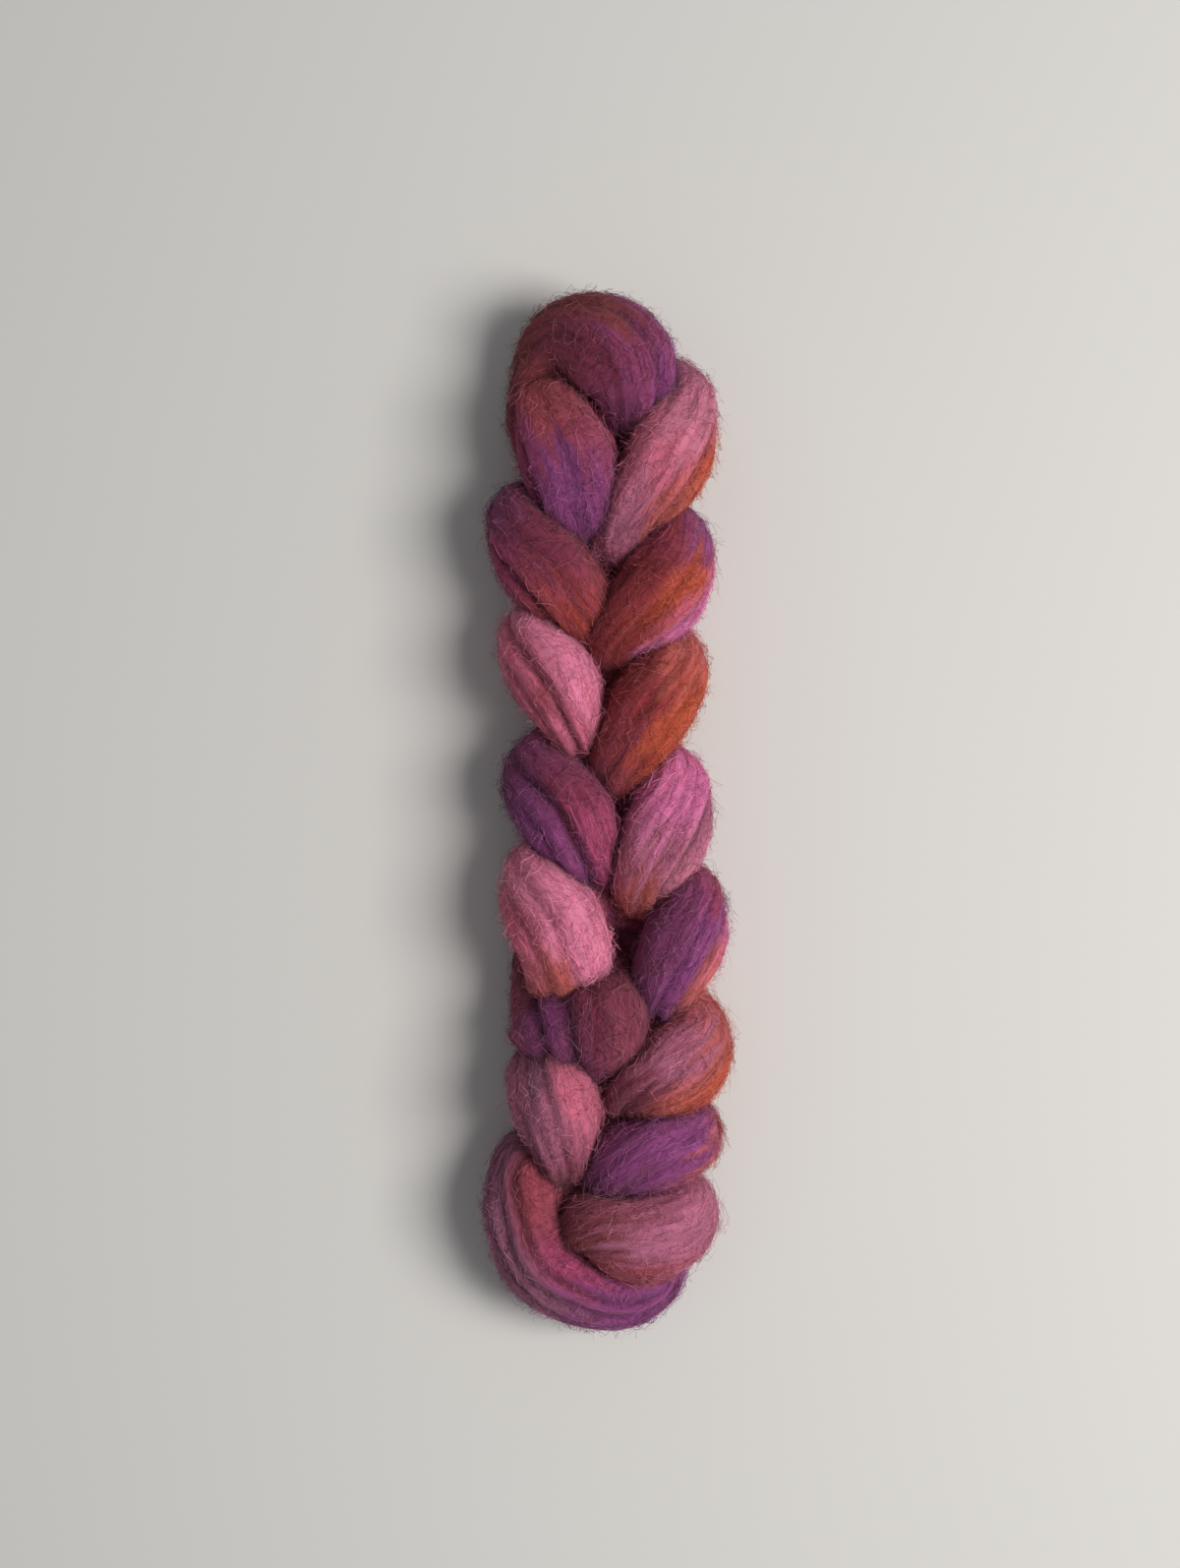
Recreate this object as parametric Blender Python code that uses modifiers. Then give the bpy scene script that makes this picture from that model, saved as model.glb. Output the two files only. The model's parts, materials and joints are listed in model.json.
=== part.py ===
"""Braid of wool roving: one long roving, chained on itself by hand, lying on a table.

Blender 4.5, metres, +Z up. The braid lies along Y, its finished end at +Y. The origin is under the
middle of its box, on the plane it rests on.

The roving is followed from its first end to its last. It starts with a band around the lower end, and
then makes eight stitches. A stitch is a loop pulled through the loop before it: a left leg that climbs
the front, a head that crosses inside, a right leg that comes down the front, and a bump up the back.
The tail comes round the upper end as a hood and is tucked into the last loop.
"""

import math
from collections import namedtuple

import bmesh
import bpy
import numpy as np
from mathutils import Matrix, Vector

MM = 0.001

# Driving dimensions, in millimetres.
STRAND_STEP = 4.0  # spacing of the roving's cross-sections
STRAND_SIDES = 20  # sides of a cross-section
SQUARENESS = 2.3  # exponent of the cross-section's superellipse; 2 is an ellipse
FUSE_VOXEL = 1.5  # voxel that fuses the roving where it presses on itself
CREASE_SOFTENING = 1  # passes that soften the fused creases
TRIANGLE_TARGET = 9000
REST_CUT = 1.2  # how deep the table flattens the lowest bumps
WOOL_COLOR = (0.42, 0.13, 0.22, 1.0)

HEAD_WIDTH = 16.0  # half the width of a head
HEAD_REACH = 0.5  # how far out a head runs, as a share of its leg's distance
BUMP_WIDTH = 13.0  # half the width of a back bump
BUMP_SIDE = 7.0  # how far a bump's ends stand from the middle line

# How a section sits at each kind of place along the roving: the height of its centre above the table,
# half its depth, and the way its flat faces on the left side of the braid. The right side is mirrored.
Place = namedtuple("Place", "height half_depth facing")
SHOULDER = Place(21.0, 10.5, (-0.93, 0.10, 0.36))
BELLY = Place(31.0, 12.0, (-0.35, 0.00, 0.94))
RISE = Place(25.0, 11.5, (-0.50, 0.10, 0.86))
UNDER = Place(21.0, 10.0, (-0.20, 0.20, 0.96))
TIP = Place(27.0, 10.0, (0.00, -0.75, 0.65))
HEAD = Place(15.0, 9.5, (0.00, 0.20, -0.98))
NECK = Place(15.0, 9.0, (0.00, -1.00, 0.00))
BUMP = Place(9.0, 10.0, (0.00, 0.00, -1.00))

# The legs that show in front, in pairs from the finished end down. Each row is a section: millimetres
# from the middle of the braid, and half its width.
Fold = namedtuple("Fold", "x y half_width place")
LEFT_LEGS = (
    (
        Fold(-16.0, 123.0, 11.0, RISE),
        Fold(-11.5, 106.5, 15.5, BELLY),
        Fold(-9.0, 94.0, 13.0, TIP),
    ),
    (
        Fold(-25.0, 91.0, 10.0, SHOULDER),
        Fold(-16.0, 72.0, 13.5, BELLY),
        Fold(-6.0, 60.5, 10.0, TIP),
    ),
    (
        Fold(-20.0, 55.5, 12.0, SHOULDER),
        Fold(-15.0, 38.5, 13.0, BELLY),
        Fold(-8.5, 25.0, 8.0, TIP),
    ),
    (
        Fold(-19.5, 13.0, 12.0, SHOULDER),
        Fold(-12.5, -1.0, 14.5, BELLY),
        Fold(-6.0, -14.0, 11.0, TIP),
    ),
    (
        Fold(-19.5, -19.5, 12.0, SHOULDER),
        Fold(-15.0, -35.5, 14.5, BELLY),
        Fold(-11.0, -50.0, 13.5, TIP),
    ),
    (
        Fold(-12.0, -46.0, 15.0, UNDER),
        Fold(-9.5, -57.0, 21.0, UNDER),
        Fold(-8.0, -67.0, 23.5, BELLY),
        Fold(-7.5, -75.5, 15.0, TIP),
    ),
    (
        Fold(-16.0, -81.5, 13.5, RISE),
        Fold(-14.5, -93.0, 13.5, BELLY),
        Fold(-12.5, -105.5, 8.5, TIP),
    ),
)
RIGHT_LEGS = (
    (
        Fold(19.5, 130.0, 10.0, SHOULDER),
        Fold(19.5, 108.0, 13.5, BELLY),
        Fold(8.0, 91.0, 10.5, TIP),
    ),
    (
        Fold(19.5, 86.0, 10.0, SHOULDER),
        Fold(16.5, 65.5, 14.0, BELLY),
        Fold(4.0, 56.0, 10.5, TIP),
    ),
    (
        Fold(18.0, 49.5, 10.0, SHOULDER),
        Fold(13.5, 29.5, 13.0, BELLY),
        Fold(3.5, 15.5, 9.5, TIP),
    ),
    (
        Fold(18.5, 10.5, 10.0, SHOULDER),
        Fold(18.5, -8.0, 13.5, BELLY),
        Fold(11.5, -21.0, 10.0, TIP),
    ),
    (
        Fold(24.0, -26.5, 10.0, SHOULDER),
        Fold(23.5, -42.0, 13.0, BELLY),
        Fold(17.0, -54.5, 9.5, TIP),
    ),
    (
        Fold(27.0, -68.5, 11.0, SHOULDER),
        Fold(22.5, -79.5, 14.0, BELLY),
        Fold(8.0, -85.0, 9.0, TIP),
    ),
    (
        Fold(25.0, -99.5, 10.0, SHOULDER),
        Fold(16.0, -105.0, 11.5, BELLY),
        Fold(2.5, -110.5, 8.5, TIP),
    ),
    (
        Fold(24.0, -123.5, 10.0, SHOULDER),
        Fold(12.5, -131.5, 13.5, BELLY),
        Fold(-4.0, -128.0, 9.0, TIP),
    ),
)

Station = namedtuple("Station", "x y z half_width half_depth out")


def placed(fold, mirrored=False):
    """A fold's section, sitting as its place says."""
    x, y, z = fold.place.facing
    facing = Vector((-x if mirrored else x, y, z))
    return Station(fold.x, fold.y, fold.place.height, fold.half_width, fold.place.half_depth, facing)


def head_stations(left_x, left_y, right_x, right_y):
    """The head that joins two legs' tops, behind the tips of the next stitch."""
    return [
        placed(Fold(left_x * HEAD_REACH, (3 * left_y + right_y) / 4, HEAD_WIDTH, HEAD)),
        placed(Fold(right_x * HEAD_REACH, (left_y + 3 * right_y) / 4, HEAD_WIDTH, HEAD)),
    ]


def bump_stations(down, up):
    """From a right tip through to the back, up the back, and through again to the next left tip."""
    climb = up.y - down.y
    return [
        placed(Fold(down.x, down.y - 4.0, down.half_width, NECK)),
        placed(Fold(BUMP_SIDE, down.y + 0.18 * climb, BUMP_WIDTH, BUMP)),
        placed(Fold(-BUMP_SIDE, up.y - 0.3 * climb, BUMP_WIDTH, BUMP)),
        placed(Fold(up.x, up.y - 5.0, up.half_width, NECK)),
    ]


def band_stations():
    """The first end: tucked under the lower end, round it and up the left side as the first left leg."""
    return [
        Station(12.0, -136.0, 10.0, 8.0, 7.0, Vector((0.0, 0.0, -1.0))),
        Station(16.5, -145.5, 14.0, 9.0, 8.0, Vector((0.4, -0.6, 0.69))),
        Station(8.0, -150.5, 18.0, 11.0, 9.5, Vector((0.1, -0.5, 0.86))),
        Station(-5.0, -148.5, 21.0, 12.0, 10.5, Vector((-0.1, -0.4, 0.91))),
        Station(-19.0, -140.0, 23.0, 12.5, 11.0, Vector((-0.3, -0.2, 0.93))),
        Station(-24.0, -126.5, 23.0, 12.0, 11.5, Vector((-0.4, 0.0, 0.92))),
        Station(-22.5, -111.0, 20.0, 11.5, 10.5, Vector((-0.7, 0.0, 0.7))),
    ]


def hood_stations():
    """The last end: up the back, round the left corner of the upper end, over it, into the last loop."""
    return [
        Station(5.0, 81.0, 15.0, 9.0, 8.0, Vector((0.0, -1.0, 0.0))),
        Station(4.0, 92.0, 9.5, 13.0, 9.5, Vector((0.0, 0.0, -1.0))),
        Station(-4.5, 106.0, 9.5, 16.0, 9.5, Vector((-0.1, 0.0, -0.99))),
        Station(-17.0, 122.0, 12.0, 13.5, 9.5, Vector((-0.6, 0.1, -0.8))),
        Station(-19.5, 137.0, 17.0, 11.5, 9.0, Vector((-0.95, 0.3, 0.1))),
        Station(-12.0, 146.5, 26.0, 12.0, 9.5, Vector((-0.4, 0.5, 0.77))),
        Station(0.0, 143.0, 31.0, 16.5, 11.0, Vector((-0.1, 0.3, 0.95))),
        Station(7.5, 135.5, 32.0, 15.5, 11.5, Vector((0.1, 0.1, 0.98))),
        Station(9.5, 125.5, 27.0, 11.0, 9.5, Vector((0.0, -0.75, 0.65))),
        Station(8.0, 118.0, 17.0, 9.0, 7.0, Vector((0.0, -1.0, 0.0))),
    ]


def roving_stations():
    """The whole roving, first end to last."""
    band = band_stations()
    route = list(band)
    last = RIGHT_LEGS[-1]
    route += head_stations(band[-1].x, band[-1].y, last[0].x, last[0].y)
    route += [placed(fold, mirrored=True) for fold in last]
    for row in range(len(LEFT_LEGS) - 1, -1, -1):
        left, right, below = LEFT_LEGS[row], RIGHT_LEGS[row], RIGHT_LEGS[row + 1]
        route += bump_stations(below[-1], left[-1])
        route += [placed(fold) for fold in left[::-1]]
        route += head_stations(left[0].x, left[0].y, right[0].x, right[0].y)
        route += [placed(fold, mirrored=True) for fold in right]
    return route + hood_stations()


def cubic_through(at, values, wanted):
    """Natural cubic spline through values at these distances, read at the wanted distances."""
    gap = np.diff(at)
    count = len(at)
    system = np.zeros((count, count))
    target = np.zeros((count, values.shape[1]))
    system[0, 0] = system[-1, -1] = 1.0
    slope = np.diff(values, axis=0) / gap[:, None]
    for i in range(1, count - 1):
        system[i, i - 1 : i + 2] = gap[i - 1], 2 * (gap[i - 1] + gap[i]), gap[i]
        target[i] = 6 * (slope[i] - slope[i - 1])
    bend = np.linalg.solve(system, target)
    i = np.clip(np.searchsorted(at, wanted, side="right") - 1, 0, count - 2)
    h = gap[i][:, None]
    before = ((wanted - at[i])[:, None]) / h
    after = 1 - before
    curve = ((after**3 - after) * bend[i] + (before**3 - before) * bend[i + 1]) * h**2 / 6
    return after * values[i] + before * values[i + 1] + curve


def unit(vectors):
    return vectors / np.linalg.norm(vectors, axis=-1, keepdims=True)


def steady_sides(out, along):
    """Each section's thin direction. The section is symmetric, so a direction that points back is turned round."""
    kept = [out[0]]
    for direction in out[1:]:
        kept.append(direction if np.dot(direction, kept[-1]) >= 0 else -direction)
    kept = np.array(kept)
    return unit(kept - (kept * along).sum(1)[:, None] * along)


def sections(route):
    """Centres, directions and half sizes of evenly spaced cross-sections along the route."""
    knots = np.array([(s.x, s.y, s.z) for s in route], float)
    at = np.concatenate([[0], np.cumsum(np.linalg.norm(np.diff(knots, axis=0), axis=1))])
    fine = np.linspace(0, at[-1], 12 * len(route))
    line = cubic_through(at, knots, fine)
    length = np.concatenate([[0], np.cumsum(np.linalg.norm(np.diff(line, axis=0), axis=1))])
    count = int(length[-1] / STRAND_STEP) + 1
    where = np.interp(np.linspace(0, length[-1], count), length, fine)
    centre = cubic_through(at, knots, where)
    along = unit(np.gradient(centre, axis=0))

    out = [np.array(route[0].out)]
    for station in route[1:]:
        turned = np.array(station.out)
        out.append(turned if np.dot(turned, out[-1]) >= 0 else -turned)
    out = np.array(out)
    thin = np.stack([np.interp(where, at, out[:, k]) for k in range(3)], axis=1)
    thin = steady_sides(unit(thin), along)
    width = np.interp(where, at, [s.half_width for s in route])
    depth = np.interp(where, at, [s.half_depth for s in route])
    return centre, along, thin, width, depth


def outline(sides):
    """Unit superellipse as (across, out) pairs."""
    turns = np.arange(sides) * 2 * math.pi / sides
    power = 2 / SQUARENESS
    across = np.sign(np.cos(turns)) * np.abs(np.cos(turns)) ** power
    out = np.sign(np.sin(turns)) * np.abs(np.sin(turns)) ** power
    return across, out


def loft(name, route):
    """The roving's surface: cross-sections of changing width and depth, closed at both ends."""
    centre, along, thin, width, depth = sections(route)
    wide = np.cross(thin, along)
    across, out = outline(STRAND_SIDES)
    mesh = bpy.data.meshes.new(name)
    bm = bmesh.new()
    rings = []
    for i in range(len(centre)):
        ring = (
            centre[i]
            + np.outer(across * width[i], wide[i])
            + np.outer(out * depth[i], thin[i])
        )
        rings.append([bm.verts.new(point * MM) for point in ring])
    for lower, upper in zip(rings, rings[1:]):
        for k in range(STRAND_SIDES):
            after = (k + 1) % STRAND_SIDES
            bm.faces.new((lower[k], lower[after], upper[after], upper[k]))
    bm.faces.new(rings[0][::-1])
    bm.faces.new(rings[-1])
    bmesh.ops.recalc_face_normals(bm, faces=bm.faces)
    bm.to_mesh(mesh)
    bm.free()
    return bpy.data.objects.new(name, mesh)


def largest_body(bm):
    """Deletes everything but the largest shell."""
    seen = set()
    shells = []
    for start in bm.verts:
        if start in seen:
            continue
        seen.add(start)
        shell, waiting = [], [start]
        while waiting:
            vert = waiting.pop()
            shell.append(vert)
            for edge in vert.link_edges:
                other = edge.other_vert(vert)
                if other not in seen:
                    seen.add(other)
                    waiting.append(other)
        shells.append(shell)
    shells.sort(key=len, reverse=True)
    for shell in shells[1:]:
        bmesh.ops.delete(bm, geom=shell, context="VERTS")


def applied(obj):
    """The object's mesh with its modifiers applied."""
    depsgraph = bpy.context.evaluated_depsgraph_get()
    mesh = bpy.data.meshes.new_from_object(obj.evaluated_get(depsgraph), depsgraph=depsgraph)
    obj.modifiers.clear()
    old = obj.data
    obj.data = mesh
    bpy.data.meshes.remove(old)


def fuse(obj):
    """Makes one body of the roving where it presses on itself, with soft creases."""
    remesh = obj.modifiers.new("fuse", "REMESH")
    remesh.mode = "VOXEL"
    remesh.voxel_size = FUSE_VOXEL * MM
    applied(obj)
    bm = bmesh.new()
    bm.from_mesh(obj.data)
    largest_body(bm)
    for _ in range(CREASE_SOFTENING):
        bmesh.ops.smooth_vert(bm, verts=bm.verts, factor=0.5, use_axis_x=True, use_axis_y=True, use_axis_z=True)
    bm.to_mesh(obj.data)
    bm.free()


def flatten_under(obj):
    """Presses everything below the table flat onto it."""
    bm = bmesh.new()
    bm.from_mesh(obj.data)
    cut = bmesh.ops.bisect_plane(
        bm,
        geom=bm.verts[:] + bm.edges[:] + bm.faces[:],
        dist=1e-6,
        plane_co=(0, 0, REST_CUT * MM),
        plane_no=(0, 0, -1),
        clear_outer=True,
    )
    edges = [item for item in cut["geom_cut"] if isinstance(item, bmesh.types.BMEdge)]
    bmesh.ops.contextual_create(bm, geom=edges)
    bmesh.ops.triangulate(bm, faces=bm.faces)
    bmesh.ops.translate(bm, verts=bm.verts, vec=(0, 0, -REST_CUT * MM))
    bmesh.ops.recalc_face_normals(bm, faces=bm.faces)
    bm.to_mesh(obj.data)
    bm.free()


def thin_out(obj, target):
    """Fewer triangles."""
    obj.data.calc_loop_triangles()
    share = target / len(obj.data.loop_triangles)
    decimate = obj.modifiers.new("thin out", "DECIMATE")
    decimate.ratio = min(1.0, share)
    decimate.use_collapse_triangulate = True
    applied(obj)


def centre_on_origin(obj):
    """Puts the origin under the middle of the box, on the plane the braid rests on."""
    points = np.array([vert.co for vert in obj.data.vertices])
    low, high = points.min(0), points.max(0)
    middle = Vector(((low[0] + high[0]) / 2, (low[1] + high[1]) / 2, low[2]))
    obj.data.transform(Matrix.Translation(-middle))


def wool():
    material = bpy.data.materials.new("wool")
    material.use_nodes = True
    shader = material.node_tree.nodes["Principled BSDF"]
    shader.inputs["Base Color"].default_value = WOOL_COLOR
    shader.inputs["Roughness"].default_value = 0.95
    return material


def main():
    for obj in list(bpy.data.objects):
        bpy.data.objects.remove(obj)
    collection = bpy.data.collections.new("braid of wool roving")
    bpy.context.scene.collection.children.link(collection)
    braid = loft("roving_braid", roving_stations())
    collection.objects.link(braid)
    fuse(braid)
    thin_out(braid, TRIANGLE_TARGET)
    flatten_under(braid)
    centre_on_origin(braid)
    braid.data.materials.clear()
    braid.data.materials.append(wool())


if __name__ == "__main__":
    main()
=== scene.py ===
"""Braid of wool roving: the dyed wool, its folds, its fuzz and the light on it."""

import json
import math
from collections import namedtuple

import bpy
import numpy as np
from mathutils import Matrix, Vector

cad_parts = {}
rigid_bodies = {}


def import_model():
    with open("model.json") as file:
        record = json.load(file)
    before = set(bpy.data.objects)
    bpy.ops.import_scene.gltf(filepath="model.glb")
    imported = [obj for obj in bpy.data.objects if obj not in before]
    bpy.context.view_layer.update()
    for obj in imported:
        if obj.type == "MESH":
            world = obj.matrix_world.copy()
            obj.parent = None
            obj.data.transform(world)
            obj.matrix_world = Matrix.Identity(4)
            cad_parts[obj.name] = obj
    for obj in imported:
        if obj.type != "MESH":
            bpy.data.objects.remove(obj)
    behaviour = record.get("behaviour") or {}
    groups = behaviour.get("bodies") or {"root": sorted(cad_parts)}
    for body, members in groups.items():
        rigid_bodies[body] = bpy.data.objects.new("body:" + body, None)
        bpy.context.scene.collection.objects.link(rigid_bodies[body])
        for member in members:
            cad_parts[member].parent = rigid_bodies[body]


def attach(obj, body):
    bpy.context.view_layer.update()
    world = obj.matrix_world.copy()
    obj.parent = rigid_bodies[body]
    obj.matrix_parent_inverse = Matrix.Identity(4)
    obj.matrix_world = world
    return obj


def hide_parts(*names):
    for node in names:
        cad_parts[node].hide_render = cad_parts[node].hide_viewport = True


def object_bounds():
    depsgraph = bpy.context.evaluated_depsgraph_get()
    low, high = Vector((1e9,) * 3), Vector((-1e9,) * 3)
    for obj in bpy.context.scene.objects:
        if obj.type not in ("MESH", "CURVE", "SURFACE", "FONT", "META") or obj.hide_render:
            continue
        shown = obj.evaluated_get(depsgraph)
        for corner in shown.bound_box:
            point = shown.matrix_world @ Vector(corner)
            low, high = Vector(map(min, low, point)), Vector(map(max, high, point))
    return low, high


bl_info = {
    "name": "Braid of wool roving",
    "version": (1, 0, 0),
    "blender": (4, 5, 0),
    "location": "3D View > Sidebar > Wool braid",
    "description": "Hand-dyed wool roving chained into a braid, with its fuzz",
    "category": "Object",
}

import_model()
CAD_LOW, CAD_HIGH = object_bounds()
BODY = "root"
NODE = "roving_braid"
MM = 0.001

# The stage, in metres: the floor's half width, the window's size and place, and the point of the table
# that lies straight under the lens.
FLOOR_REACH = 3.0
WINDOW_SIZE = (0.6, 0.8)
WINDOW_PLACE = (0.86, -0.08, 1.14)
UNDER_LENS = (-0.00456, 0.00821)

# Room is a surface point's distance from the next fold, where 1 touches it. Hairs start to grow at
# HAIRS_FROM, and the painted shade where folds touch is darkest up to SHADE_UNTIL.
HAIRS_FROM = 0.90
SHADE_UNTIL = 0.95
PRESSED = 0.6

SQUARENESS = 2.3  # exponent of the cross-section's superellipse; 2 is an ellipse
REST_CUT = 1.2  # how deep the table flattens the lowest bumps, in millimetres
HEAD_WIDTH = 16.0  # half the width of a head
HEAD_REACH = 0.5  # how far out a head runs, as a share of its leg's distance
BUMP_WIDTH = 13.0  # half the width of a back bump
BUMP_SIDE = 7.0  # how far a bump's ends stand from the middle line
EASING = 3.5  # length over which a section eases into the next, in millimetres

# How a section sits at each kind of place along the roving: the height of its centre above the table,
# half its depth, and the way its flat faces on the left side of the braid. The right side is mirrored.
Place = namedtuple("Place", "height half_depth facing")
SHOULDER = Place(21.0, 10.5, (-0.93, 0.10, 0.36))
BELLY = Place(31.0, 12.0, (-0.35, 0.00, 0.94))
RISE = Place(25.0, 11.5, (-0.50, 0.10, 0.86))
UNDER = Place(21.0, 10.0, (-0.20, 0.20, 0.96))
TIP = Place(27.0, 10.0, (0.00, -0.75, 0.65))
HEAD = Place(15.0, 9.5, (0.00, 0.20, -0.98))
NECK = Place(15.0, 9.0, (0.00, -1.00, 0.00))
BUMP = Place(9.0, 10.0, (0.00, 0.00, -1.00))

# The legs that show in front, in pairs from the finished end down. Each row is a section: millimetres
# from the middle of the braid, and half its width.
Fold = namedtuple("Fold", "x y half_width place")
LEFT_LEGS = (
    (
        Fold(-16.0, 123.0, 11.0, RISE),
        Fold(-11.5, 106.5, 15.5, BELLY),
        Fold(-9.0, 94.0, 13.0, TIP),
    ),
    (
        Fold(-25.0, 91.0, 10.0, SHOULDER),
        Fold(-16.0, 72.0, 13.5, BELLY),
        Fold(-6.0, 60.5, 10.0, TIP),
    ),
    (
        Fold(-20.0, 55.5, 12.0, SHOULDER),
        Fold(-15.0, 38.5, 13.0, BELLY),
        Fold(-8.5, 25.0, 8.0, TIP),
    ),
    (
        Fold(-19.5, 13.0, 12.0, SHOULDER),
        Fold(-12.5, -1.0, 14.5, BELLY),
        Fold(-6.0, -14.0, 11.0, TIP),
    ),
    (
        Fold(-19.5, -19.5, 12.0, SHOULDER),
        Fold(-15.0, -35.5, 14.5, BELLY),
        Fold(-11.0, -50.0, 13.5, TIP),
    ),
    (
        Fold(-12.0, -46.0, 15.0, UNDER),
        Fold(-9.5, -57.0, 21.0, UNDER),
        Fold(-8.0, -67.0, 23.5, BELLY),
        Fold(-7.5, -75.5, 15.0, TIP),
    ),
    (
        Fold(-16.0, -81.5, 13.5, RISE),
        Fold(-14.5, -93.0, 13.5, BELLY),
        Fold(-12.5, -105.5, 8.5, TIP),
    ),
)
RIGHT_LEGS = (
    (
        Fold(19.5, 130.0, 10.0, SHOULDER),
        Fold(19.5, 108.0, 13.5, BELLY),
        Fold(8.0, 91.0, 10.5, TIP),
    ),
    (
        Fold(19.5, 86.0, 10.0, SHOULDER),
        Fold(16.5, 65.5, 14.0, BELLY),
        Fold(4.0, 56.0, 10.5, TIP),
    ),
    (
        Fold(18.0, 49.5, 10.0, SHOULDER),
        Fold(13.5, 29.5, 13.0, BELLY),
        Fold(3.5, 15.5, 9.5, TIP),
    ),
    (
        Fold(18.5, 10.5, 10.0, SHOULDER),
        Fold(18.5, -8.0, 13.5, BELLY),
        Fold(11.5, -21.0, 10.0, TIP),
    ),
    (
        Fold(24.0, -26.5, 10.0, SHOULDER),
        Fold(23.5, -42.0, 13.0, BELLY),
        Fold(17.0, -54.5, 9.5, TIP),
    ),
    (
        Fold(27.0, -68.5, 11.0, SHOULDER),
        Fold(22.5, -79.5, 14.0, BELLY),
        Fold(8.0, -85.0, 9.0, TIP),
    ),
    (
        Fold(25.0, -99.5, 10.0, SHOULDER),
        Fold(16.0, -105.0, 11.5, BELLY),
        Fold(2.5, -110.5, 8.5, TIP),
    ),
    (
        Fold(24.0, -123.5, 10.0, SHOULDER),
        Fold(12.5, -131.5, 13.5, BELLY),
        Fold(-4.0, -128.0, 9.0, TIP),
    ),
)

# The dyes, as linear colours.
RUST_BROWN = (0.28, 0.05, 0.06)
RUST = (0.39, 0.05, 0.04)
DARK_RUST = (0.28, 0.03, 0.04)
ORANGE = (0.55, 0.09, 0.04)
SALMON = (0.55, 0.12, 0.11)
CORAL = (0.45, 0.08, 0.10)
ROSE = (0.36, 0.06, 0.09)
PINK = (0.64, 0.15, 0.24)
DUSTY_PINK = (0.71, 0.23, 0.34)
LIGHT_PINK = (0.81, 0.24, 0.40)
MAUVE = (0.48, 0.14, 0.24)
GREY_MAUVE = (0.32, 0.11, 0.19)
ORCHID = (0.74, 0.19, 0.41)
MAGENTA = (0.40, 0.06, 0.15)
PURPLE = (0.30, 0.06, 0.22)
VIOLET = (0.29, 0.06, 0.22)
PLUM = (0.21, 0.04, 0.12)
WINE = (0.22, 0.03, 0.07)
WINE_ROSE = (0.27, 0.05, 0.09)
WINE_PURPLE = (0.29, 0.05, 0.14)

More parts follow.
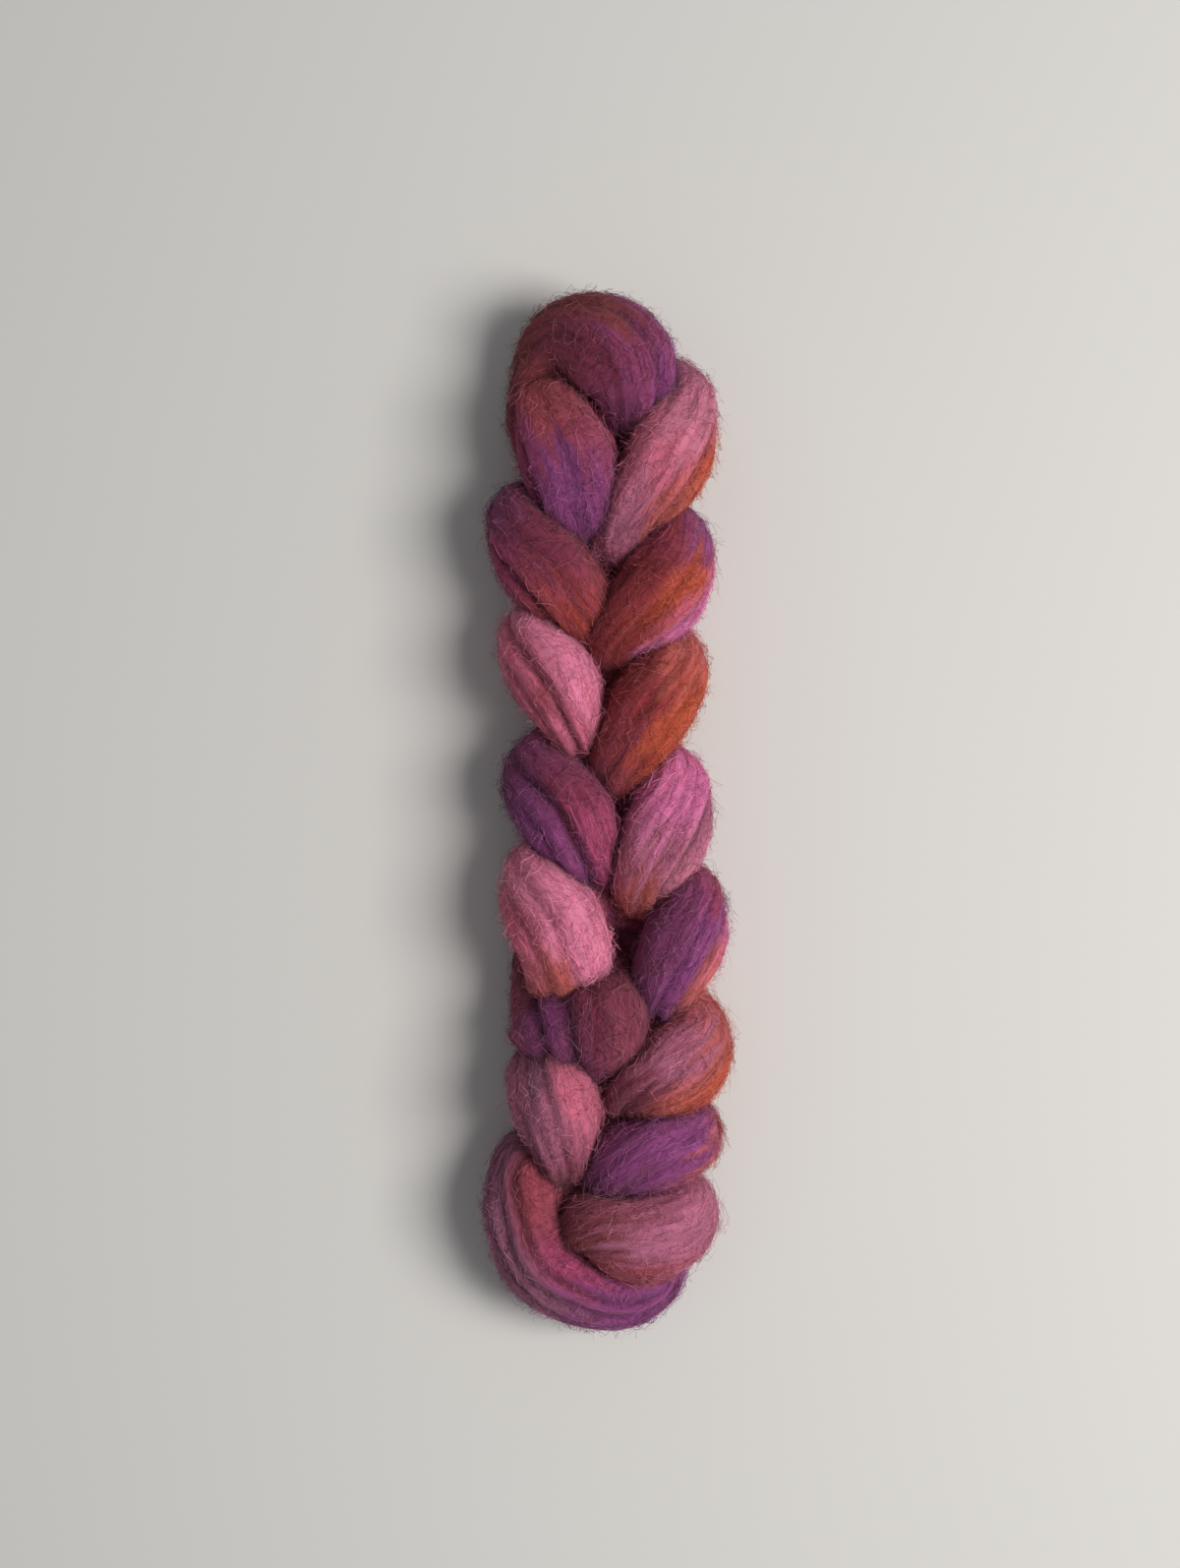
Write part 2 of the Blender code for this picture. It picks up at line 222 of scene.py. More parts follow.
# Where the dyes lie. D0 is the hood, L and R are the left and right legs from the finished end down, L8
# is the band round the lower end. along runs from 0 at a leg's upper end to 1 at its tip, and across
# from -1 at its left edge to 1 at its right. On the hood they run from the left corner and outwards,
# and across the band from its outer edge to its inner one.
Dye = namedtuple("Dye", "leg along across color")
DYES = (
    Dye("D0", 0.10, 0.0, RUST_BROWN),
    Dye("D0", 0.35, 0.4, RUST_BROWN),
    Dye("D0", 0.45, -0.4, WINE),
    Dye("D0", 0.60, 0.3, WINE_PURPLE),
    Dye("D0", 0.75, 0.7, PURPLE),
    Dye("D0", 0.90, 0.0, PLUM),
    Dye("L1", 0.10, 0.0, CORAL),
    Dye("L1", 0.30, 0.4, ROSE),
    Dye("L1", 0.35, -0.6, MAGENTA),
    Dye("L1", 0.65, 0.0, PURPLE),
    Dye("L1", 0.95, 0.0, VIOLET),
    Dye("R1", 0.10, 0.0, MAUVE),
    Dye("R1", 0.35, -0.1, DUSTY_PINK),
    Dye("R1", 0.60, -0.2, PINK),
    Dye("R1", 0.60, 0.8, ORANGE),
    Dye("R1", 0.80, 0.4, SALMON),
    Dye("R1", 0.95, -0.3, MAUVE),
    Dye("L2", 0.05, 0.0, PLUM),
    Dye("L2", 0.35, -0.4, MAGENTA),
    Dye("L2", 0.45, 0.6, WINE),
    Dye("L2", 0.70, 0.0, ROSE),
    Dye("L2", 0.95, 0.2, RUST),
    Dye("R2", 0.10, 0.2, PURPLE),
    Dye("R2", 0.40, 0.8, ORCHID),
    Dye("R2", 0.50, 0.1, ORANGE),
    Dye("R2", 0.55, -0.6, DARK_RUST),
    Dye("R2", 0.75, 0.7, ORCHID),
    Dye("R2", 0.85, 0.0, RUST),
    Dye("R2", 1.00, -0.4, DARK_RUST),
    Dye("L3", 0.10, -0.2, DUSTY_PINK),
    Dye("L3", 0.45, -0.2, PINK),
    Dye("L3", 0.60, 0.7, LIGHT_PINK),
    Dye("L3", 0.65, 0.0, ROSE),
    Dye("L3", 0.90, 0.0, PINK),
    Dye("R3", 0.10, 0.0, SALMON),
    Dye("R3", 0.45, 0.4, ORANGE),
    Dye("R3", 0.60, -0.5, DARK_RUST),
    Dye("R3", 0.75, 0.3, ORANGE),
    Dye("R3", 0.90, 0.3, RUST),
    Dye("R3", 1.00, -0.4, WINE),
    Dye("L4", 0.10, -0.4, PLUM),
    Dye("L4", 0.35, -0.2, PURPLE),
    Dye("L4", 0.60, -0.6, VIOLET),
    Dye("L4", 0.60, 0.6, WINE),
    Dye("L4", 0.80, 0.7, MAGENTA),
    Dye("L4", 0.95, -0.1, PURPLE),
    Dye("R4", 0.10, 0.0, ORCHID),
    Dye("R4", 0.40, -0.5, ORCHID),
    Dye("R4", 0.50, 0.5, MAUVE),
    Dye("R4", 0.75, -0.4, MAUVE),
    Dye("R4", 0.85, 0.6, DUSTY_PINK),
    Dye("R4", 0.95, 0.0, SALMON),
    Dye("L5", 0.10, -0.3, DUSTY_PINK),
    Dye("L5", 0.45, -0.5, PINK),
    Dye("L5", 0.55, 0.4, LIGHT_PINK),
    Dye("L5", 0.85, 0.6, LIGHT_PINK),
    Dye("L5", 0.95, -0.1, SALMON),
    Dye("R5", 0.10, 0.2, MAGENTA),
    Dye("R5", 0.40, 0.1, PURPLE),
    Dye("R5", 0.45, 0.9, ORCHID),
    Dye("R5", 0.60, -0.7, PLUM),
    Dye("R5", 0.80, 0.8, SALMON),
    Dye("R5", 0.90, 0.0, VIOLET),
    Dye("L6", 0.30, -0.8, WINE_ROSE),
    Dye("L6", 0.50, -0.2, PURPLE),
    Dye("L6", 0.50, 0.4, WINE),
    Dye("L6", 0.55, 0.8, WINE_ROSE),
    Dye("L6", 0.95, -0.2, PLUM),
    Dye("R6", 0.15, 0.3, SALMON),
    Dye("R6", 0.40, 0.7, ORANGE),
    Dye("R6", 0.55, -0.4, MAUVE),
    Dye("R6", 0.65, 0.4, SALMON),
    Dye("R6", 0.85, 0.6, RUST),
    Dye("R6", 0.95, -0.3, WINE_ROSE),
    Dye("L7", 0.10, -0.5, MAUVE),
    Dye("L7", 0.30, 0.1, GREY_MAUVE),
    Dye("L7", 0.35, 0.7, PINK),
    Dye("L7", 0.65, 0.0, MAUVE),
    Dye("L7", 0.95, 0.0, WINE_ROSE),
    Dye("R7", 0.05, 0.4, SALMON),
    Dye("R7", 0.30, -0.2, VIOLET),
    Dye("R7", 0.60, 0.0, PURPLE),
    Dye("R7", 0.95, 0.0, PLUM),
    Dye("R8", 0.15, 0.0, MAUVE),
    Dye("R8", 0.50, 0.0, MAUVE),
    Dye("R8", 0.70, 0.6, ROSE),
    Dye("R8", 0.95, 0.0, RUST_BROWN),
    Dye("L8", 0.15, -0.5, GREY_MAUVE),
    Dye("L8", 0.15, 0.6, ROSE),
    Dye("L8", 0.45, -0.4, GREY_MAUVE),
    Dye("L8", 0.50, 0.6, MAGENTA),
    Dye("L8", 0.75, 0.0, PURPLE),
    Dye("L8", 0.90, -0.3, VIOLET),
)

# Folds that the roving keeps along its length. across is the place on the front, from -1 at the left
# edge to 1 at the right; the rest is in millimetres, start and end from the leg's upper end.
Crease = namedtuple("Crease", "leg across depth width start end")
CREASES = (
    Crease("D0", -0.45, 1.2, 1.6, 0, 60),
    Crease("D0", 0.55, 1.6, 1.5, 0, 60),
    Crease("L1", -0.72, 2.6, 1.5, -5, 40),
    Crease("L1", 0.30, 1.0, 1.6, 5, 45),
    Crease("R1", 0.10, 1.3, 1.4, 5, 50),
    Crease("R1", 0.55, 1.8, 1.4, 0, 50),
    Crease("R1", -0.40, 1.0, 1.4, 10, 50),
    Crease("L2", -0.55, 2.6, 1.5, 0, 40),
    Crease("L2", 0.35, 1.0, 1.6, 10, 45),
    Crease("R2", 0.60, 1.8, 1.5, 0, 40),
    Crease("R2", -0.10, 0.9, 1.6, 5, 40),
    Crease("L3", 0.10, 2.4, 1.4, 5, 50),
    Crease("L3", -0.50, 1.0, 1.4, 5, 40),
    Crease("R3", 0.35, 1.1, 1.6, 5, 45),
    Crease("R3", -0.45, 1.0, 1.6, 5, 45),
    Crease("L4", 0.20, 3.2, 2.0, 5, 60),
    Crease("L4", -0.50, 1.4, 1.4, 0, 50),
    Crease("R4", 0.45, 3.0, 1.8, 0, 45),
    Crease("R4", -0.15, 1.2, 1.5, 5, 45),
    Crease("L5", -0.35, 1.3, 1.4, 0, 45),
    Crease("L5", 0.30, 0.9, 1.6, 0, 45),
    Crease("R5", 0.50, 1.4, 1.5, 0, 45),
    Crease("R5", -0.20, 1.0, 1.5, 5, 45),
    Crease("L6", -0.45, 3.0, 1.7, 0, 60),
    Crease("L6", 0.05, 2.8, 1.7, 0, 60),
    Crease("R6", 0.30, 0.9, 1.8, 0, 45),
    Crease("R6", -0.30, 0.8, 1.8, 0, 45),
    Crease("L7", -0.15, 1.3, 1.3, 0, 50),
    Crease("L7", 0.25, 1.3, 1.3, 0, 50),
    Crease("L7", -0.60, 1.0, 1.3, 0, 50),
    Crease("R7", 0.20, 1.0, 1.6, 0, 45),
    Crease("R8", 0.00, 0.9, 1.8, 0, 45),
    Crease("L8", 0.30, 1.5, 1.7, 0, 110),
    Crease("L8", -0.25, 1.8, 1.7, 0, 110),
    Crease("L8", -0.65, 1.1, 1.6, 0, 110),
)

Station = namedtuple("Station", "label x y z half_width half_depth out")


def placed(label, fold, mirrored=False):
    """A fold's section, sitting as its place says."""
    place = fold.place
    x, y, z = place.facing
    facing = Vector((-x if mirrored else x, y, z))
    return Station(label, fold.x, fold.y, place.height, fold.half_width, place.half_depth, facing)


def head_stations(label, left_x, left_y, right_x, right_y):
    """The head that joins two legs' tops, behind the tips of the next stitch."""
    upper_left = Fold(left_x * HEAD_REACH, (3 * left_y + right_y) / 4, HEAD_WIDTH, HEAD)
    upper_right = Fold(right_x * HEAD_REACH, (left_y + 3 * right_y) / 4, HEAD_WIDTH, HEAD)
    return [placed(label, upper_left), placed(label, upper_right)]


def bump_stations(label, down, up):
    """From a right tip through to the back, up the back, and through again to the next left tip."""
    climb = up.y - down.y
    return [
        placed(label, Fold(down.x, down.y - 4.0, down.half_width, NECK)),
        placed(label, Fold(BUMP_SIDE, down.y + 0.18 * climb, BUMP_WIDTH, BUMP)),
        placed(label, Fold(-BUMP_SIDE, up.y - 0.3 * climb, BUMP_WIDTH, BUMP)),
        placed(label, Fold(up.x, up.y - 5.0, up.half_width, NECK)),
    ]


def band_stations():
    """The first end: tucked under the lower end, round it and up the left side as the first left leg."""
    return [
        Station("B9", 12.0, -136.0, 10.0, 8.0, 7.0, Vector((0.0, 0.0, -1.0))),
        Station("L8", 16.5, -145.5, 14.0, 9.0, 8.0, Vector((0.4, -0.6, 0.69))),
        Station("L8", 8.0, -150.5, 18.0, 11.0, 9.5, Vector((0.1, -0.5, 0.86))),
        Station("L8", -5.0, -148.5, 21.0, 12.0, 10.5, Vector((-0.1, -0.4, 0.91))),
        Station("L8", -19.0, -140.0, 23.0, 12.5, 11.0, Vector((-0.3, -0.2, 0.93))),
        Station("L8", -24.0, -126.5, 23.0, 12.0, 11.5, Vector((-0.4, 0.0, 0.92))),
        Station("L8", -22.5, -111.0, 20.0, 11.5, 10.5, Vector((-0.7, 0.0, 0.7))),
    ]


def hood_stations():
    """The last end: up the back, round the left corner of the upper end, over it, into the last loop."""
    return [
        Station("B0", 5.0, 81.0, 15.0, 9.0, 8.0, Vector((0.0, -1.0, 0.0))),
        Station("B0", 4.0, 92.0, 9.5, 13.0, 9.5, Vector((0.0, 0.0, -1.0))),
        Station("B0", -4.5, 106.0, 9.5, 16.0, 9.5, Vector((-0.1, 0.0, -0.99))),
        Station("B0", -17.0, 122.0, 12.0, 13.5, 9.5, Vector((-0.6, 0.1, -0.8))),
        Station("D0", -19.5, 137.0, 17.0, 11.5, 9.0, Vector((-0.95, 0.3, 0.1))),
        Station("D0", -12.0, 146.5, 26.0, 12.0, 9.5, Vector((-0.4, 0.5, 0.77))),
        Station("D0", 0.0, 143.0, 31.0, 16.5, 11.0, Vector((-0.1, 0.3, 0.95))),
        Station("D0", 7.5, 135.5, 32.0, 15.5, 11.5, Vector((0.1, 0.1, 0.98))),
        Station("D0", 9.5, 125.5, 27.0, 11.0, 9.5, Vector((0.0, -0.75, 0.65))),
        Station("D0", 8.0, 118.0, 17.0, 9.0, 7.0, Vector((0.0, -1.0, 0.0))),
    ]


def roving_stations():
    """The whole roving, first end to last."""
    route = band_stations()
    last = RIGHT_LEGS[-1]
    route += head_stations("H8", route[-1].x, route[-1].y, last[0].x, last[0].y)
    route += [placed("R8", fold, mirrored=True) for fold in last]
    for row in range(len(LEFT_LEGS) - 1, -1, -1):
        left, right, below = LEFT_LEGS[row], RIGHT_LEGS[row], RIGHT_LEGS[row + 1]
        name = str(row + 1)
        route += bump_stations("B" + name, below[-1], left[-1])
        route += [placed("L" + name, fold) for fold in left[::-1]]
        route += head_stations("H" + name, left[0].x, left[0].y, right[0].x, right[0].y)
        route += [placed("R" + name, fold, mirrored=True) for fold in right]
    return route + hood_stations()


def cubic_through(at, values, wanted):
    """Natural cubic spline through values at these distances, read at the wanted distances."""
    gap = np.diff(at)
    count = len(at)
    system = np.zeros((count, count))
    target = np.zeros((count, values.shape[1]))
    system[0, 0] = system[-1, -1] = 1.0
    slope = np.diff(values, axis=0) / gap[:, None]
    for i in range(1, count - 1):
        system[i, i - 1 : i + 2] = gap[i - 1], 2 * (gap[i - 1] + gap[i]), gap[i]
        target[i] = 6 * (slope[i] - slope[i - 1])
    bend = np.linalg.solve(system, target)
    i = np.clip(np.searchsorted(at, wanted, side="right") - 1, 0, count - 2)
    h = gap[i][:, None]
    before = ((wanted - at[i])[:, None]) / h
    after = 1 - before
    curve = ((after**3 - after) * bend[i] + (before**3 - before) * bend[i + 1]) * h**2 / 6
    return after * values[i] + before * values[i + 1] + curve


def unit(vectors):
    """The vectors at length 1."""
    return vectors / np.linalg.norm(vectors, axis=-1, keepdims=True)


def turned_alike(directions):
    """The directions, each turned round where it points back from the one before it."""
    kept = [np.array(directions[0])]
    for direction in directions[1:]:
        direction = np.array(direction)
        kept.append(direction if np.dot(direction, kept[-1]) >= 0 else -direction)
    return np.array(kept)


def eased(rows, spread):
    """The rows, each averaged with its neighbours, so that nothing turns at a station."""
    reach = int(3 * spread)
    bell = np.exp(-0.5 * (np.arange(-reach, reach + 1) / spread) ** 2)
    padded = np.pad(rows, ((reach, reach), (0, 0)), mode="edge")
    columns = [np.convolve(column, bell / bell.sum(), mode="valid") for column in padded.T]
    return np.stack(columns, axis=1)


class Roving:
    """The roving's centre line, cross-sections and surface points, in millimetres."""

    def __init__(self, step, sides):
        route = roving_stations()
        knots = np.array([(s.x, s.y, s.z) for s in route], float)
        at = np.concatenate([[0], np.cumsum(np.linalg.norm(np.diff(knots, axis=0), axis=1))])
        fine = np.linspace(0, at[-1], 40 * len(route))
        line = cubic_through(at, knots, fine)
        length = np.concatenate([[0], np.cumsum(np.linalg.norm(np.diff(line, axis=0), axis=1))])
        count = int(length[-1] / step) + 1
        self.run = np.linspace(0, length[-1], count)
        where = np.interp(self.run, length, fine)
        self.centre = cubic_through(at, knots, where)
        self.along = unit(np.gradient(self.centre, axis=0))
        out = turned_alike([s.out for s in route])
        thin = np.stack([np.interp(where, at, out[:, k]) for k in range(3)], axis=1)
        thin = turned_alike(unit(eased(thin, EASING / step)))
        self.thin = unit(thin - (thin * self.along).sum(1)[:, None] * self.along)
        self.wide = np.cross(self.thin, self.along)
        width = np.interp(where, at, [s.half_width for s in route])
        depth = np.interp(where, at, [s.half_depth for s in route])
        self.width, self.depth = eased(np.stack([width, depth], axis=1), EASING / step).T
        self.station_run = np.interp(at, fine, length)
        self.labels = [s.label for s in route]
        self.sides = sides
        self.turn = (np.arange(sides) + 0.5) * 2 * math.pi / sides - math.pi / 2
        self.front = self.front_signs(route)

    def front_signs(self, route):
        """For each section, whether its thin direction or the other one is its outer face."""
        nearest = np.interp(self.run, self.station_run, np.arange(len(route))).round().astype(int)
        facing = np.array([s.out for s in route])[nearest]
        return np.where((self.thin * facing).sum(1) >= 0, 1.0, -1.0)

    def span(self, label):
        """Where a leg's first and last station lie along the roving."""
        runs = [run for run, name in zip(self.station_run, self.labels) if name == label]
        return min(runs), max(runs)

    def outline(self):
        """Each section's outline as (across, out) pairs in millimetres."""
        power = 2 / SQUARENESS
        across = np.sign(np.cos(self.turn)) * np.abs(np.cos(self.turn)) ** power
        out = np.sign(np.sin(self.turn)) * np.abs(np.sin(self.turn)) ** power
        return self.width[:, None] * across, self.depth[:, None] * out

    def points(self, relief=0.0):
        """Surface points, one row per section, pushed out by the relief."""
        across, out = self.outline()
        reach = np.hypot(across, out)
        grow = 1 + relief / np.maximum(reach, 1.0)
        return (
            self.centre[:, None]
            + (across * grow)[..., None] * self.wide[:, None]
            + (out * grow)[..., None] * self.thin[:, None]
        )


def slow_noise(rng, run, spacing, count):
    """Smooth random curves along the roving, one column each."""
    knots = np.arange(run[0] - 2 * spacing, run[-1] + 3 * spacing, spacing)
    values = rng.normal(0.0, 1.0, (len(knots), count))
    return cubic_through(knots, values, run)


def lock_relief(roving, rng, lock_height):
    """Ridges of the locks of wool, which run along the roving and drift round it."""
    relief = np.zeros((len(roving.run), roving.sides))
    for waves, share in ((5, 0.9), (8, 1.0), (13, 0.8), (19, 0.55), (27, 0.35)):
        phase = slow_noise(rng, roving.run, 38.0, 1) * 1.3 + rng.uniform(0, 2 * math.pi)
        strength = 0.65 + 0.35 * slow_noise(rng, roving.run, 25.0, 1)
        ridge = np.abs(np.sin((waves * roving.turn[None] + phase) / 2))
        relief += lock_height * share * strength * (ridge**0.7 - 0.68)
    lumps = slow_noise(rng, roving.run, 14.0, 4)
    for k in range(4):
        relief += 0.28 * lumps[:, k : k + 1] * np.cos((k + 1) * roving.turn[None] + k)
    return relief


def crease_relief(roving):
    """The folds in the crease table, as negative relief."""
    relief = np.zeros((len(roving.run), roving.sides))
    across, out = roving.outline()
    facing = np.sign(out) * roving.front[:, None]
    for crease in CREASES:
        low, high = roving.span(crease.leg)
        upper_is_low = crease.leg[0] in "RD"
        along = roving.run - low if upper_is_low else high - roving.run
        begun = np.clip((along - crease.start + 6) / 12, 0, 1)
        unended = np.clip((crease.end + 6 - along) / 12, 0, 1)
        rise = begun * unended
        # a left leg runs upwards and a right leg downwards, so their wide directions are opposite
        rightward = roving.front * (-1.0 if crease.leg[0] == "L" else 1.0)
        offset = across * rightward[:, None] - crease.across * roving.width[:, None]
        trough = np.exp(-((offset / crease.width) ** 2)) * (facing > 0)
        relief -= crease.depth * rise[:, None] * trough
    return relief


def room_around(roving, points):
    """How far each surface point stands from the other folds: below 1 is inside one, 1 touches it."""
    room = np.full(points.shape[:2], 9.0)
    step = roving.run[1] - roving.run[0]
    apart = int(26.0 / step)
    far = np.hypot(roving.width, roving.depth) * 1.4
    for i in range(len(roving.run)):
        distance = np.linalg.norm(roving.centre - roving.centre[i], axis=1)
        near = np.flatnonzero(distance < far + far[i])
        near = near[np.abs(near - i) > apart]
        if not len(near):
            continue
        to = points[i][:, None] - roving.centre[near][None]
        wide = (to * roving.wide[near]).sum(2) / roving.width[near]
        thin = (to * roving.thin[near]).sum(2) / roving.depth[near]
        along = (to * roving.along[near]).sum(2) / step
        inside = (np.abs(wide) ** SQUARENESS + np.abs(thin) ** SQUARENESS) ** (1 / SQUARENESS)
        room[i] = np.where(np.abs(along) < 1.5, inside, 9.0).min(1)
    return room


# Millimetres that keep a dye off the inner face of its leg.
WRONG_FACE = 50.0


def dye_colors(roving, points, rng, streak):
    """The dye at each surface point: the nearest rows of the table count most, and it is drawn out
    along the fibres by the streak length."""
    girth = np.linalg.norm(np.roll(points, -1, axis=1) - points, axis=2)
    round_at = np.cumsum(girth, axis=1)
    total = round_at[:, -1:]
    across, out = roving.outline()
    rows = []
    for dye in DYES:
        low, high = roving.span(dye.leg)
        from_upper = dye.along * (high - low)
        at = low + from_upper if dye.leg[0] in "RD" else high - from_upper
        i = int(np.argmin(np.abs(roving.run - at)))
        rightward = roving.front[i] * (-1.0 if dye.leg[0] == "L" else 1.0)
        offset = np.abs(across[i] * rightward - dye.across * roving.width[i])
        inner_face = out[i] * roving.front[i] < 0
        k = int(np.argmin(offset + WRONG_FACE * inner_face))
        rows.append((roving.run[i], k, dye.color))
    shift = streak * slow_noise(rng, roving.run, 9.0, roving.sides)
    run = roving.run[:, None] + shift
    weight = np.zeros(points.shape[:2])
    color = np.zeros(points.shape)
    for at, side, dye in rows:
        around = np.abs(round_at - round_at[:, side : side + 1])
        around = np.minimum(around, total - around)
        distance = (run - at) ** 2 + (1.25 * around) ** 2
        share = 1 / (distance + 6.0) ** 2.2
        weight += share
        color += share[..., None] * np.array(dye)
    return color / weight[..., None]


def mesh_of_roving(roving, points, attributes):
    """The closed tube, with its own UV map in metres: along the roving, then round it."""
    count, sides = points.shape[:2]
    verts = np.concatenate([points.reshape(-1, 3), roving.centre[[0, -1]]]) * MM
    ring = np.arange(sides)
    after = (ring + 1) % sides
    base = (np.arange(count - 1) * sides)[:, None]
    quads = np.stack([base + ring, base + after, base + sides + after, base + sides + ring], axis=2)
    quads = quads.reshape(-1, 4)
    start, end = count * sides, count * sides + 1
    caps = [(start, after[k], ring[k]) for k in range(sides)]
    last = (count - 1) * sides
    caps += [(end, last + ring[k], last + after[k]) for k in range(sides)]
    faces = quads.tolist() + caps
    mesh = bpy.data.meshes.new("wool_roving")
    mesh.from_pydata(verts.tolist(), [], faces)
    run = roving.run * MM
    girth = np.linalg.norm(np.roll(points, -1, axis=1) - points, axis=2).mean(0)
    around = np.concatenate([[0], np.cumsum(girth)]) * MM
    row = np.repeat(np.arange(count - 1), sides)
    column = np.tile(ring, count - 1)
    corners = np.stack(
        [
            np.stack([run[row], around[column]], 1),
            np.stack([run[row], around[column + 1]], 1),
            np.stack([run[row + 1], around[column + 1]], 1),
            np.stack([run[row + 1], around[column]], 1),
        ],
        axis=1,
    ).reshape(-1, 2)
    cap_uv = np.full((len(caps) * 3, 2), -0.05)
    uv = mesh.uv_layers.new(name="Run")
    uv.data.foreach_set("uv", np.concatenate([corners, cap_uv]).astype(np.float32).ravel())
    for name, values in attributes.items():
        if values.ndim == 3:
            tail = values[[0, -1]].mean(1)
            flat = np.concatenate([values.reshape(-1, 3), tail])
            flat = np.concatenate([flat, np.ones((len(flat), 1))], axis=1)
            layer = mesh.attributes.new(name, "FLOAT_COLOR", "POINT")
            layer.data.foreach_set("color", flat.astype(np.float32).ravel())
        else:
            flat = np.concatenate([values.ravel(), [0.0, 0.0]])
            layer = mesh.attributes.new(name, "FLOAT", "POINT")
            layer.data.foreach_set("value", flat.astype(np.float32))
    mesh.shade_smooth()
    mesh.update()
    return mesh


# --- Materials -------------------------------------------------------------------------------------


def add(tree, kind, **settings):
    """A node of this kind, with its properties or unlinked inputs set."""
    node = tree.nodes.new(kind)
    for name, value in settings.items():
        if hasattr(node, name):
            setattr(node, name, value)
        else:
            node.inputs[name.replace("_", " ")].default_value = value
    return node


def streaks_group():
    """Shader group: fine streaks of wool along the roving, from its UV map."""
    name = "Wool streaks"
    if name in bpy.data.node_groups:
        return bpy.data.node_groups[name]
    tree = bpy.data.node_groups.new(name, "ShaderNodeTree")
    sockets = (
        ("Color", "INPUT", "NodeSocketColor", (0.4, 0.1, 0.2, 1.0)),
        ("Contrast", "INPUT", "NodeSocketFloat", 0.3),
        ("Fibre Width", "INPUT", "NodeSocketFloat", 0.0004),
        ("Fibre Length", "INPUT", "NodeSocketFloat", 0.0042),
        ("Color", "OUTPUT", "NodeSocketColor", None),
        ("Height", "OUTPUT", "NodeSocketFloat", None),
    )
    for label, way, kind, value in sockets:
        socket = tree.interface.new_socket(label, in_out=way, socket_type=kind)
        if value is not None:
            socket.default_value = value
    enter = tree.nodes.new("NodeGroupInput")
    leave = tree.nodes.new("NodeGroupOutput")
    link = tree.links.new
    uv = add(tree, "ShaderNodeUVMap", uv_map="Run")
    split = add(tree, "ShaderNodeSeparateXYZ")
    link(uv.outputs["UV"], split.inputs[0])
    warp = add(tree, "ShaderNodeTexNoise", Scale=60.0, Detail=2.0)
    link(uv.outputs["UV"], warp.inputs["Vector"])
    sway = add(tree, "ShaderNodeMath", operation="MULTIPLY_ADD")
    link(warp.outputs["Fac"], sway.inputs[0])
    sway.inputs[1].default_value = 0.006
    link(split.outputs["Y"], sway.inputs[2])
    crimp = add(tree, "ShaderNodeTexNoise", Scale=420.0, Detail=3.0)
    link(uv.outputs["UV"], crimp.inputs["Vector"])
    wavy = add(tree, "ShaderNodeMath", operation="MULTIPLY_ADD")
    link(crimp.outputs["Fac"], wavy.inputs[0])
    wavy.inputs[1].default_value = 0.0022
    link(sway.outputs[0], wavy.inputs[2])
    across = add(tree, "ShaderNodeMath", operation="DIVIDE")
    link(wavy.outputs[0], across.inputs[0])
    link(enter.outputs["Fibre Width"], across.inputs[1])
    along = add(tree, "ShaderNodeMath", operation="DIVIDE")
    link(split.outputs["X"], along.inputs[0])
    link(enter.outputs["Fibre Length"], along.inputs[1])
    place = add(tree, "ShaderNodeCombineXYZ")
    link(along.outputs[0], place.inputs["X"])
    link(across.outputs[0], place.inputs["Y"])
    fine = add(tree, "ShaderNodeTexNoise", Scale=1.0, Detail=3.0, Roughness=0.6)
    link(place.outputs[0], fine.inputs["Vector"])
    broad_place = add(tree, "ShaderNodeVectorMath", operation="MULTIPLY")
    link(place.outputs[0], broad_place.inputs[0])
    broad_place.inputs[1].default_value = (0.5, 0.16, 1.0)
    broad = add(tree, "ShaderNodeTexNoise", Scale=1.0, Detail=2.0)
    link(broad_place.outputs[0], broad.inputs["Vector"])
    both = add(tree, "ShaderNodeMath", operation="ADD")
    link(fine.outputs["Fac"], both.inputs[0])
    link(broad.outputs["Fac"], both.inputs[1])
    tone = add(tree, "ShaderNodeMath", operation="MULTIPLY_ADD")
    link(both.outputs[0], tone.inputs[0])
    link(enter.outputs["Contrast"], tone.inputs[1])
    base = add(tree, "ShaderNodeMath", operation="SUBTRACT")
    base.inputs[0].default_value = 1.0
    link(enter.outputs["Contrast"], base.inputs[1])
    link(base.outputs[0], tone.inputs[2])
    shade = add(tree, "ShaderNodeVectorMath", operation="SCALE")
    link(enter.outputs["Color"], shade.inputs[0])
    link(tone.outputs[0], shade.inputs["Scale"])
    link(shade.outputs[0], leave.inputs["Color"])
    link(both.outputs[0], leave.inputs["Height"])
    return tree


